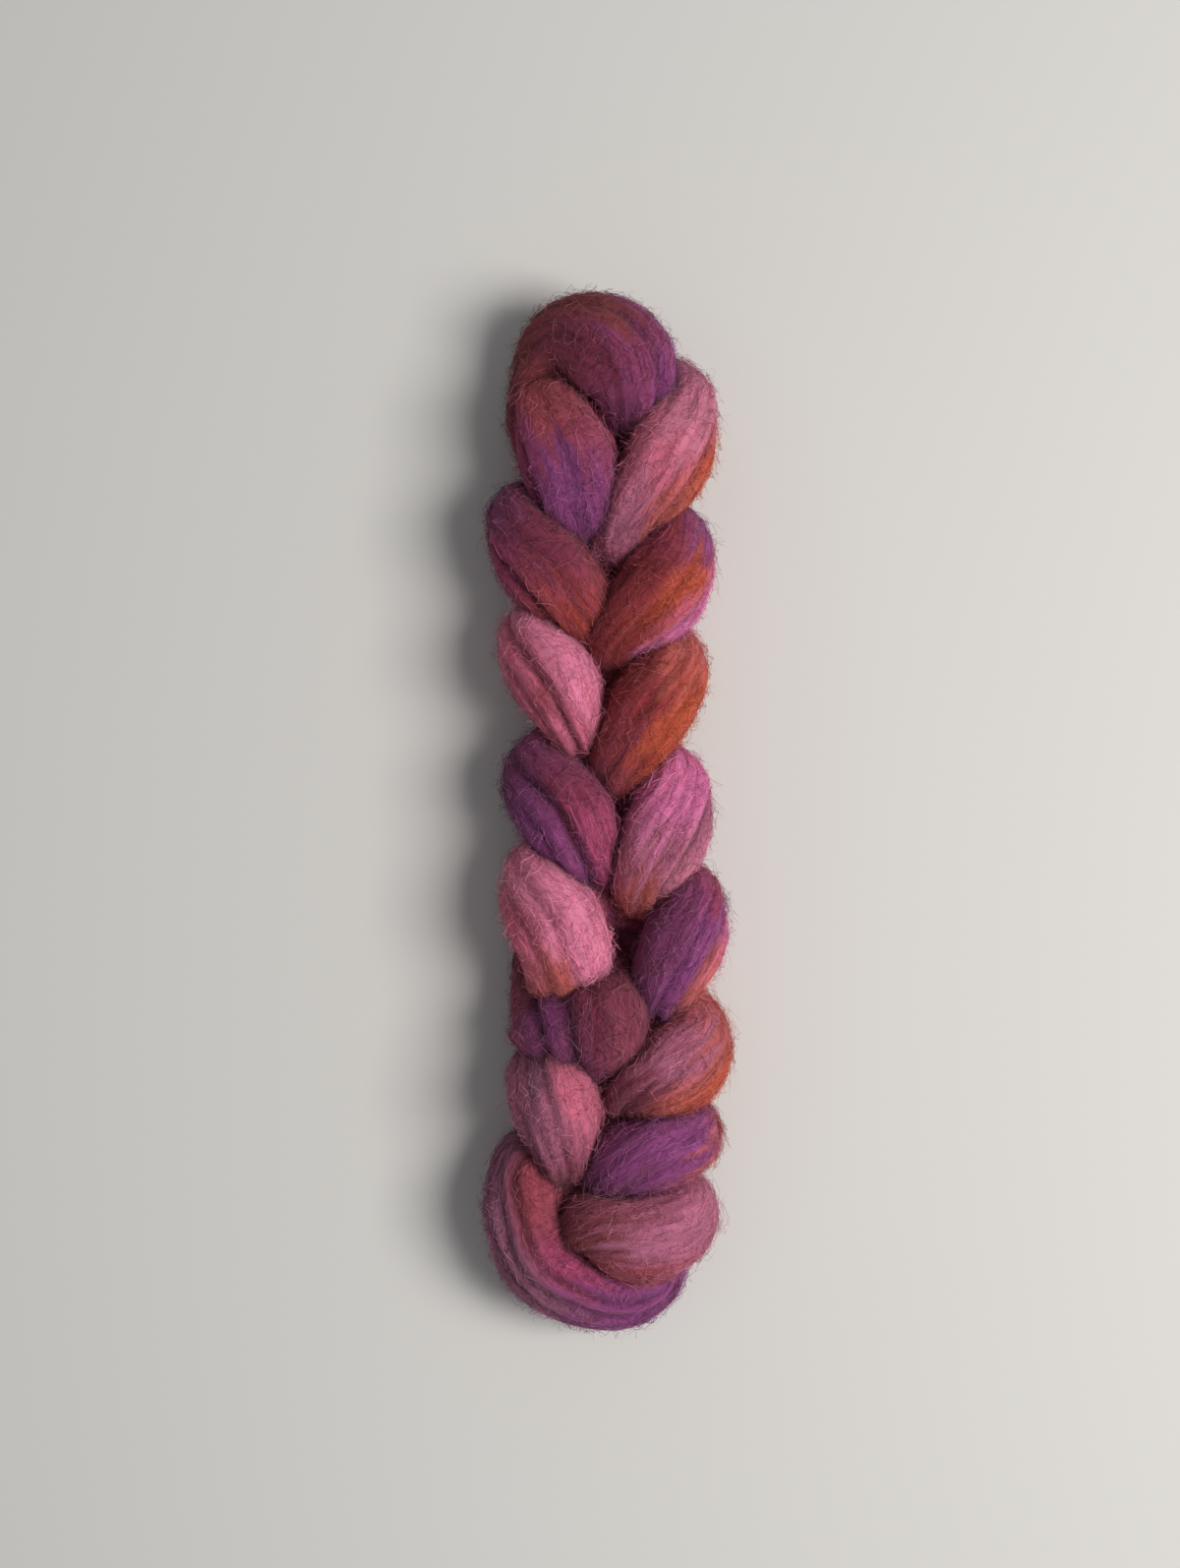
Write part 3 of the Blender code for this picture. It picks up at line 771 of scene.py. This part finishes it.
def dyed_wool(name, contrast, roughness, sheen, softness):
    """The wool: its dye, with the painted shade in it, from the surface, streaked, matt and a little soft
    to light.
    """
    material = bpy.data.materials.new(name)
    material.use_nodes = True
    tree = material.node_tree
    shader = tree.nodes["Principled BSDF"]
    dye = add(tree, "ShaderNodeAttribute", attribute_name="dye")
    shader.inputs["Roughness"].default_value = roughness
    shader.inputs["Sheen Weight"].default_value = sheen
    shader.inputs["Sheen Roughness"].default_value = 0.6
    shader.inputs["Sheen Tint"].default_value = (1.0, 0.80, 0.86, 1.0)
    shader.inputs["Specular IOR Level"].default_value = 0.25
    shader.inputs["Subsurface Weight"].default_value = softness
    shader.inputs["Subsurface Radius"].default_value = (1.0, 0.45, 0.5)
    shader.inputs["Subsurface Scale"].default_value = 0.003
    if contrast > 0:
        streaks = tree.nodes.new("ShaderNodeGroup")
        streaks.node_tree = streaks_group()
        streaks.inputs["Contrast"].default_value = contrast
        tree.links.new(dye.outputs["Color"], streaks.inputs["Color"])
        tree.links.new(streaks.outputs["Color"], shader.inputs["Base Color"])
        bump = add(tree, "ShaderNodeBump", Strength=0.8, Distance=0.0007)
        tree.links.new(streaks.outputs["Height"], bump.inputs["Height"])
        tree.links.new(bump.outputs["Normal"], shader.inputs["Normal"])
    else:
        tree.links.new(dye.outputs["Color"], shader.inputs["Base Color"])
    return material


def plain(name, color, roughness):
    """A plain matt material, for the floor."""
    material = bpy.data.materials.new(name)
    material.use_nodes = True
    shader = material.node_tree.nodes["Principled BSDF"]
    shader.inputs["Base Color"].default_value = (*color, 1.0)
    shader.inputs["Roughness"].default_value = roughness
    shader.inputs["Specular IOR Level"].default_value = 0.1
    return material


# --- Fibres ----------------------------------------------------------------------------------------


class FieldTree:
    """A Geometry Nodes tree under construction, with short words for the nodes it needs."""

    def __init__(self, name, sizes):
        self.tree = bpy.data.node_groups.new(name, "GeometryNodeTree")
        new = self.tree.interface.new_socket
        new("Geometry", in_out="INPUT", socket_type="NodeSocketGeometry")
        new("Geometry", in_out="OUTPUT", socket_type="NodeSocketGeometry")
        self.ids = {}
        for label, kind, value in sizes:
            socket = new(label, in_out="INPUT", socket_type=kind)
            if value is not None:
                socket.default_value = value
            self.ids[label] = socket.identifier
        self.enter = self.tree.nodes.new("NodeGroupInput")
        self.leave = self.tree.nodes.new("NodeGroupOutput")

    def size(self, label):
        return self.enter.outputs[label]

    def put(self, target, value):
        """Links a socket, or sets a plain value."""
        if isinstance(value, bpy.types.NodeSocket):
            self.tree.links.new(value, target)
        else:
            target.default_value = value

    def node(self, kind, links=(), **settings):
        node = self.tree.nodes.new(kind)
        for name, value in settings.items():
            setattr(node, name, value)
        for key, value in dict(links).items():
            self.put(node.inputs[key], value)
        return node

    def math(self, operation, *values):
        node = self.tree.nodes.new("ShaderNodeMath")
        node.operation = operation
        for socket, value in zip(node.inputs, values):
            self.put(socket, value)
        return node.outputs[0]

    def vector(self, x, y, z):
        node = self.node("ShaderNodeCombineXYZ", {"X": x, "Y": y, "Z": z})
        return node.outputs[0]

    def vector_math(self, operation, *values, scale=None):
        node = self.tree.nodes.new("ShaderNodeVectorMath")
        node.operation = operation
        for socket, value in zip(node.inputs, values):
            self.put(socket, value)
        if scale is not None:
            self.put(node.inputs["Scale"], scale)
        return node.outputs[0]

    def random(self, low, high, seed):
        node = self.node("FunctionNodeRandomValue", data_type="FLOAT")
        numbers = [s for s in node.inputs if s.enabled and s.type == "VALUE"]
        self.put(numbers[0], low)
        self.put(numbers[1], high)
        self.put(next(s for s in node.inputs if s.name == "Seed"), seed)
        return next(s for s in node.outputs if s.enabled)

    def attribute(self, name, data_type):
        node = self.node("GeometryNodeInputNamedAttribute", data_type=data_type)
        node.inputs["Name"].default_value = name
        return next(s for s in node.outputs if s.enabled and s.name == "Attribute")

    def store(self, geometry, name, data_type, value, domain="POINT"):
        node = self.node("GeometryNodeStoreNamedAttribute", data_type=data_type, domain=domain)
        self.put(node.inputs["Geometry"], geometry)
        node.inputs["Name"].default_value = name
        self.put(next(s for s in node.inputs if s.enabled and s.name == "Value"), value)
        return node.outputs["Geometry"]

    def sample_uv(self, mesh, data_type, value, uv_map, at):
        node = self.node("GeometryNodeSampleUVSurface", data_type=data_type)
        self.put(node.inputs["Mesh"], mesh)
        self.put(next(s for s in node.inputs if s.enabled and s.name == "Value"), value)
        self.put(next(s for s in node.inputs if s.name in ("UV Map", "Source UV Map")), uv_map)
        self.put(node.inputs["Sample UV"], at)
        return next(s for s in node.outputs if s.enabled and s.name == "Value"), node.outputs["Is Valid"]


FIBRE_SIZES = (
    ("Density", "NodeSocketFloat", 1000.0),
    ("Points", "NodeSocketInt", 5),
    ("Shortest", "NodeSocketFloat", 0.008),
    ("Longest", "NodeSocketFloat", 0.016),
    ("Wander", "NodeSocketFloat", 0.2),
    ("Lift", "NodeSocketFloat", 0.0004),
    ("Free End", "NodeSocketFloat", 0.0),
    ("Curl", "NodeSocketFloat", 0.0005),
    ("Curls", "NodeSocketFloat", 1.5),
    ("Thickness", "NodeSocketFloat", 0.0001),
    ("Table", "NodeSocketFloat", 0.0),
    ("Seed", "NodeSocketInt", 0),
    ("Material", "NodeSocketMaterial", None),
)


def fibre_tree():
    """Geometry Nodes: thin closed hairs that start on the free wool, each following it by its own path."""
    t = FieldTree("Wool fibres", FIBRE_SIZES)
    wool = t.enter.outputs["Geometry"]
    seed = t.size("Seed")
    free = t.attribute("free", "FLOAT")
    spread = t.node(
        "GeometryNodeDistributePointsOnFaces",
        {"Mesh": wool, "Seed": seed},
        distribute_method="RANDOM",
    )
    density = next(s for s in spread.inputs if s.enabled and s.name == "Density")
    t.put(density, t.math("MULTIPLY", free, t.size("Density")))
    roots = spread.outputs["Points"]
    roots = t.store(roots, "root", "FLOAT_VECTOR", t.attribute("Run", "FLOAT_VECTOR"))
    reach = t.random(t.size("Shortest"), t.size("Longest"), t.math("ADD", seed, 1.0))
    roots = t.store(roots, "reach", "FLOAT", reach)
    wander = t.size("Wander")
    one_way = t.random(-1.0, 1.0, t.math("ADD", seed, 2.0))
    other_way = t.random(-1.0, 1.0, t.math("ADD", seed, 3.0))
    aim = t.math("ADD", one_way, other_way)
    roots = t.store(roots, "aim", "FLOAT", t.math("MULTIPLY", aim, wander))
    roots = t.store(roots, "rise", "FLOAT", t.random(0.25, 1.0, t.math("ADD", seed, 4.0)))
    roots = t.store(roots, "phase", "FLOAT", t.random(0.0, 6.2832, t.math("ADD", seed, 5.0)))
    roots = t.store(roots, "tone", "FLOAT", t.random(0.0, 1.0, t.math("ADD", seed, 6.0)))
    roots = t.store(roots, "bow", "FLOAT", t.random(-1.0, 1.0, t.math("ADD", seed, 7.0)))

    line = t.node("GeometryNodeCurvePrimitiveLine")
    line.inputs["End"].default_value = (1.0, 0.0, 0.0)
    hair = t.node("GeometryNodeResampleCurve", {"Curve": line.outputs["Curve"], "Count": t.size("Points")})
    copies = t.node(
        "GeometryNodeInstanceOnPoints",
        {"Points": roots, "Instance": hair.outputs["Curve"]},
    )
    real = t.node("GeometryNodeRealizeInstances", {"Geometry": copies.outputs["Instances"]}).outputs[0]

    # each hair's path on the unrolled wool
    share = t.node("GeometryNodeSplineParameter").outputs["Factor"]
    reach = t.attribute("reach", "FLOAT")
    aim = t.attribute("aim", "FLOAT")
    phase = t.attribute("phase", "FLOAT")
    middle = t.math("SUBTRACT", share, 0.5)
    ahead = t.math("MULTIPLY", middle, reach)
    turned = t.math("MULTIPLY_ADD", t.math("MULTIPLY", t.attribute("bow", "FLOAT"), wander), middle, aim)
    turns = t.math("MULTIPLY", share, t.size("Curls"))
    swing = t.math("SINE", t.math("MULTIPLY_ADD", turns, 6.2832, phase))
    along = t.math("MULTIPLY", ahead, t.math("COSINE", turned))
    across = t.math("MULTIPLY", ahead, t.math("SINE", turned))
    across = t.math("MULTIPLY_ADD", swing, t.size("Curl"), across)
    root = t.attribute("root", "FLOAT_VECTOR")
    at = t.vector_math("ADD", root, t.vector(along, across, 0.0))

    uv_map = t.attribute("Run", "FLOAT_VECTOR")
    position = t.node("GeometryNodeInputPosition").outputs[0]
    place, valid = t.sample_uv(wool, "FLOAT_VECTOR", position, uv_map, at)
    facing = t.node("GeometryNodeInputNormal").outputs["Normal"]
    normal, _ = t.sample_uv(wool, "FLOAT_VECTOR", facing, uv_map, at)
    # each hair takes the roving's colour at its root, the painted shade of folds and creases included
    dye, _ = t.sample_uv(wool, "FLOAT_COLOR", t.attribute("dye", "FLOAT_COLOR"), uv_map, root)

    # both ends lie in the wool, or one end stands free
    arch = t.math("SINE", t.math("MULTIPLY", share, math.pi))
    rising = t.math("POWER", share, 1.4)
    free_end = t.size("Free End")
    held = t.math("MULTIPLY", arch, t.math("SUBTRACT", 1.0, free_end))
    profile = t.math("ADD", held, t.math("MULTIPLY", rising, free_end))
    wave = t.math("SINE", t.math("MULTIPLY_ADD", t.math("MULTIPLY", share, t.size("Curls")), 9.1, phase))
    profile = t.math("MULTIPLY", profile, t.math("MULTIPLY_ADD", wave, 0.35, 1.0))
    lift = t.math("MULTIPLY", t.math("MULTIPLY", profile, t.size("Lift")), t.attribute("rise", "FLOAT"))
    lifted = t.vector_math("ADD", place, t.vector_math("SCALE", normal, scale=lift))
    spot = t.node("ShaderNodeSeparateXYZ", {"Vector": lifted})
    above = t.math("MAXIMUM", spot.outputs["Z"], t.size("Table"))
    kept = t.vector(spot.outputs["X"], spot.outputs["Y"], above)
    moved = t.node("GeometryNodeSetPosition", {"Geometry": real, "Position": kept}).outputs["Geometry"]

    # each hair has its own random tone, and the lighter ones are also paled towards white, a painted sheen
    # of hairs catching the light
    tone = t.attribute("tone", "FLOAT")
    lighter = t.math("MULTIPLY_ADD", t.math("POWER", tone, 2.0), 1.05, 0.66)
    own = t.vector_math("SCALE", dye, scale=lighter)
    painted_sheen = t.math("MULTIPLY", t.math("POWER", tone, 3.0), 0.10)
    own = t.vector_math("ADD", own, t.vector(painted_sheen, painted_sheen, painted_sheen))
    colored = t.store(moved, "dye", "FLOAT_COLOR", own)
    lost = t.node("GeometryNodeDeleteGeometry", domain="POINT")
    t.put(lost.inputs["Geometry"], colored)
    off_wool = t.node("FunctionNodeBooleanMath", {0: valid}, operation="NOT")
    t.put(lost.inputs["Selection"], off_wool.outputs[0])

    taper = t.math("POWER", t.math("MULTIPLY", share, t.math("SUBTRACT", 1.0, share)), 0.4)
    tapered = t.math("MULTIPLY", taper, t.size("Thickness"))
    thick = t.math("MULTIPLY", tapered, t.math("MULTIPLY_ADD", tone, 0.5, 0.6))
    ring = t.node("GeometryNodeCurvePrimitiveCircle", mode="RADIUS")
    ring.inputs["Resolution"].default_value = 3
    ring.inputs["Radius"].default_value = 1.0
    tube = t.node(
        "GeometryNodeCurveToMesh",
        {
            "Curve": lost.outputs[0],
            "Profile Curve": ring.outputs["Curve"],
            "Scale": thick,
            "Fill Caps": True,
        },
    )
    smooth = t.node("GeometryNodeSetShadeSmooth", {"Geometry": tube.outputs["Mesh"]})
    real_again = t.node("GeometryNodeRealizeInstances", {"Geometry": smooth.outputs["Geometry"]})
    clothed = t.node(
        "GeometryNodeSetMaterial",
        {"Geometry": real_again.outputs[0], "Material": t.size("Material")},
    )
    t.put(t.leave.inputs["Geometry"], clothed.outputs["Geometry"])
    return t


# The kinds of hair: how much of a full piece of triangles they take, the points of a hair, its shortest
# and longest length, how far its aim strays, how high it lifts, whether its end is free, how far and how
# often it curls, and its share of the thickness. Lengths are in metres, aim in radians.
Hair = namedtuple(
    "Hair", "name share points shortest longest wander lift free_end curl curls thickness seed"
)
HAIRS = (
    Hair("nap", 0.65, 4, 0.005, 0.013, 0.30, 0.0009, 0.0, 0.0006, 1.1, 1.00, 3),
    Hair("crimp", 1.0, 6, 0.003, 0.008, 1.20, 0.0014, 0.0, 0.0012, 1.6, 1.00, 17),
    Hair("frizz", 1.0, 6, 0.003, 0.008, 2.20, 0.0024, 0.0, 0.0015, 1.4, 0.90, 29),
    Hair("stray", 1.0, 6, 0.003, 0.010, 2.20, 0.0050, 1.0, 0.0016, 1.4, 0.75, 41),
    Hair("halo", 0.7, 5, 0.002, 0.005, 2.20, 0.0028, 1.0, 0.0010, 1.0, 0.75, 53),
)


def grow_fibres(name, roving_piece, tree, sizes):
    """One piece of fibres, grown on the roving by the tree with these sizes."""
    grower = bpy.data.objects.new(name + "_grower", roving_piece.data)
    bpy.context.scene.collection.objects.link(grower)
    nodes = grower.modifiers.new("fibres", "NODES")
    nodes.node_group = tree.tree
    for label, value in sizes.items():
        nodes[tree.ids[label]] = value
    depsgraph = bpy.context.evaluated_depsgraph_get()
    mesh = bpy.data.meshes.new_from_object(grower.evaluated_get(depsgraph), depsgraph=depsgraph)
    mesh.name = name
    bpy.data.objects.remove(grower)
    piece = bpy.data.objects.new(name, mesh)
    bpy.context.scene.collection.objects.link(piece)
    return piece


# --- Settings --------------------------------------------------------------------------------------


class RovingSettings(bpy.types.PropertyGroup):
    """Sizes of the roving's surface."""

    section_step: bpy.props.FloatProperty(
        name="Section Step",
        description="Spacing of the cross-sections",
        default=0.0015,
        unit="LENGTH",
        precision=4,
    )
    section_sides: bpy.props.IntProperty(
        name="Section Sides", description="Sides of a cross-section", default=66, min=12
    )
    lock_height: bpy.props.FloatProperty(
        name="Lock Height",
        description="Height of the ridges of the locks",
        default=0.0007,
        unit="LENGTH",
        precision=4,
    )
    streak_length: bpy.props.FloatProperty(
        name="Streak Length",
        description="How far a dye is drawn out along the fibres",
        default=0.0045,
        unit="LENGTH",
        precision=4,
    )


class FibreSettings(bpy.types.PropertyGroup):
    """Sizes of the fuzz."""

    thickness: bpy.props.FloatProperty(
        name="Thickness", description="Thickness of a hair", default=0.00015, unit="LENGTH", precision=5
    )
    per_piece: bpy.props.IntProperty(
        name="Triangles", description="Triangles aimed at in a piece of fuzz", default=172000, min=1000
    )


class StageSettings(bpy.types.PropertyGroup):
    """The floor, the light and the camera."""

    floor_color: bpy.props.FloatVectorProperty(
        name="Floor",
        description="Colour of the floor",
        subtype="COLOR",
        default=(0.73, 0.715, 0.69),
        min=0.0,
        max=1.0,
    )
    key_power: bpy.props.FloatProperty(
        name="Key Light", description="Power of the window light", default=18.0, unit="POWER"
    )
    fill_strength: bpy.props.FloatProperty(
        name="Fill Light", description="Strength of the light from all round", default=0.23
    )
    camera_height: bpy.props.FloatProperty(
        name="Camera Height", description="Height of the camera", default=0.8, unit="LENGTH"
    )
    lens: bpy.props.FloatProperty(name="Lens", description="Focal length in millimetres", default=57.5)


# --- Operators -------------------------------------------------------------------------------------


class WOOL_OT_roving(bpy.types.Operator):
    """Make the roving itself"""

    bl_idname = "wool.roving"
    bl_label = "Roving"

    def execute(self, context):
        settings = context.scene.wool_roving
        rng = np.random.default_rng(11)
        roving = Roving(settings.section_step / MM, settings.section_sides)
        creases = crease_relief(roving)
        relief = lock_relief(roving, rng, settings.lock_height / MM) + creases
        points = roving.points(relief)
        room = room_around(roving, points)
        free = np.clip((room - HAIRS_FROM) / 0.12, 0.0, 1.0)
        dye = dye_colors(roving, points, rng, settings.streak_length / MM)
        # Painted shade: the colour is darker where folds press together and in the troughs of the creases,
        # standing in for the shadow there; from here the dye carries it.
        shade = 0.45 + 0.55 * np.clip((room - SHADE_UNTIL) / 0.28, 0.0, 1.0)
        shade = shade * (1.0 - 0.5 * np.clip(-creases / 3.0, 0.0, 1.0))
        dye = dye * shade[..., None]
        low, high = points.reshape(-1, 3).min(0), points.reshape(-1, 3).max(0)
        middle = np.array(((CAD_LOW + CAD_HIGH) / 2)[:]) / MM
        shift = middle - (low + high) / 2
        shift[2] = CAD_LOW.z / MM - REST_CUT
        context.scene["wool_shift"] = shift.tolist()
        table = CAD_LOW.z / MM
        points = points + shift
        roving.centre = roving.centre + shift
        under = points[..., 2] < table + PRESSED
        pressed = table + PRESSED * np.exp((points[..., 2] - table - PRESSED) / 3.0)
        points[..., 2] = np.where(under, pressed, points[..., 2])
        free = free * np.clip((points[..., 2] - table) / 4.0, 0.0, 1.0)
        # the dye attribute holds the dye with the painted shade multiplied in
        mesh = mesh_of_roving(roving, points, {"dye": dye, "free": free})
        material = dyed_wool("dyed wool", contrast=0.75, roughness=0.9, sheen=0.10, softness=0.06)
        mesh.materials.append(material)
        piece = bpy.data.objects.new("wool_roving", mesh)
        context.scene.collection.objects.link(piece)
        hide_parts(NODE)
        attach(piece, BODY)
        return {"FINISHED"}


class WOOL_OT_fuzz(bpy.types.Operator):
    """Grow the fuzz: nap along the roving, crimped and frizzy hairs over it, strays and a short halo"""

    bl_idname = "wool.fuzz"
    bl_label = "Fuzz"

    def execute(self, context):
        settings = context.scene.wool_fibres
        roving = bpy.data.objects["wool_roving"]
        mesh = roving.data
        free = np.zeros(len(mesh.vertices), np.float32)
        mesh.attributes["free"].data.foreach_get("value", free)
        area = sum(p.area * free[p.vertices[0]] for p in mesh.polygons)
        tree = fibre_tree()
        material = dyed_wool("wool fibres", contrast=0.0, roughness=0.75, sheen=0.05, softness=0.0)
        for hair in HAIRS:
            triangles = (hair.points - 1) * 6 + 2
            density = hair.share * settings.per_piece / triangles / area
            sizes = {
                "Density": density,
                "Points": hair.points,
                "Shortest": hair.shortest,
                "Longest": hair.longest,
                "Wander": hair.wander,
                "Lift": hair.lift,
                "Free End": hair.free_end,
                "Curl": hair.curl,
                "Curls": hair.curls,
                "Thickness": settings.thickness * hair.thickness,
                "Table": CAD_LOW.z + settings.thickness,
                "Seed": hair.seed,
                "Material": material,
            }
            piece = grow_fibres("wool_" + hair.name, roving, tree, sizes)
            piece.data.materials.clear()
            piece.data.materials.append(material)
            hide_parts(NODE)
            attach(piece, BODY)
        return {"FINISHED"}


class WOOL_OT_stage(bpy.types.Operator):
    """Set the floor, the window light, the fill light and the camera"""

    bl_idname = "wool.stage"
    bl_label = "Stage"

    def execute(self, context):
        settings = context.scene.wool_stage
        scene = context.scene
        shift = Vector(scene["wool_shift"]) * MM
        floor = bpy.data.meshes.new("floor")
        size = FLOOR_REACH
        z = CAD_LOW.z
        corners = [(-size, -size, z), (size, -size, z), (size, size, z), (-size, size, z)]
        floor.from_pydata(corners, [], [(0, 1, 2, 3)])
        floor.materials.append(plain("floor", settings.floor_color, 0.9))
        floor_piece = bpy.data.objects.new("floor", floor)
        scene.collection.objects.link(floor_piece)

        world = bpy.data.worlds.new("soft room")
        world.use_nodes = True
        background = world.node_tree.nodes["Background"]
        background.inputs["Color"].default_value = (0.93, 0.96, 1.0, 1.0)
        background.inputs["Strength"].default_value = settings.fill_strength
        scene.world = world

        light = bpy.data.lights.new("window", "AREA")
        light.shape = "RECTANGLE"
        light.size, light.size_y = WINDOW_SIZE
        light.energy = settings.key_power
        light.color = (1.0, 0.98, 0.95)
        window = bpy.data.objects.new("window", light)
        window.location = WINDOW_PLACE
        window.rotation_euler = (-window.location).to_track_quat("-Z", "Y").to_euler()
        scene.collection.objects.link(window)

        camera = bpy.data.cameras.new("camera")
        camera.lens = settings.lens
        camera.sensor_width = 36.0
        camera.clip_start = 0.01
        eye = bpy.data.objects.new("camera", camera)
        eye.location = (UNDER_LENS[0] + shift.x, UNDER_LENS[1] + shift.y, settings.camera_height)
        scene.collection.objects.link(eye)
        scene.camera = eye
        scene.view_settings.view_transform = "Standard"
        return {"FINISHED"}


class WOOL_PT_panel(bpy.types.Panel):
    """Wool braid"""

    bl_label = "Wool braid"
    bl_idname = "WOOL_PT_panel"
    bl_space_type = "VIEW_3D"
    bl_region_type = "UI"
    bl_category = "Wool braid"

    def draw(self, context):
        for group in (context.scene.wool_roving, context.scene.wool_fibres, context.scene.wool_stage):
            box = self.layout.box()
            for name in group.__annotations__:
                box.prop(group, name)
        for operator in (WOOL_OT_roving, WOOL_OT_fuzz, WOOL_OT_stage):
            self.layout.operator(operator.bl_idname)


CLASSES = (
    RovingSettings,
    FibreSettings,
    StageSettings,
    WOOL_OT_roving,
    WOOL_OT_fuzz,
    WOOL_OT_stage,
    WOOL_PT_panel,
)


def register():
    for cls in CLASSES:
        bpy.utils.register_class(cls)
    bpy.types.Scene.wool_roving = bpy.props.PointerProperty(type=RovingSettings)
    bpy.types.Scene.wool_fibres = bpy.props.PointerProperty(type=FibreSettings)
    bpy.types.Scene.wool_stage = bpy.props.PointerProperty(type=StageSettings)


def unregister():
    del bpy.types.Scene.wool_stage
    del bpy.types.Scene.wool_fibres
    del bpy.types.Scene.wool_roving
    for cls in reversed(CLASSES):
        bpy.utils.unregister_class(cls)


def main():
    register()
    bpy.ops.wool.roving()
    bpy.ops.wool.fuzz()
    bpy.ops.wool.stage()


if __name__ == "__main__":
    main()
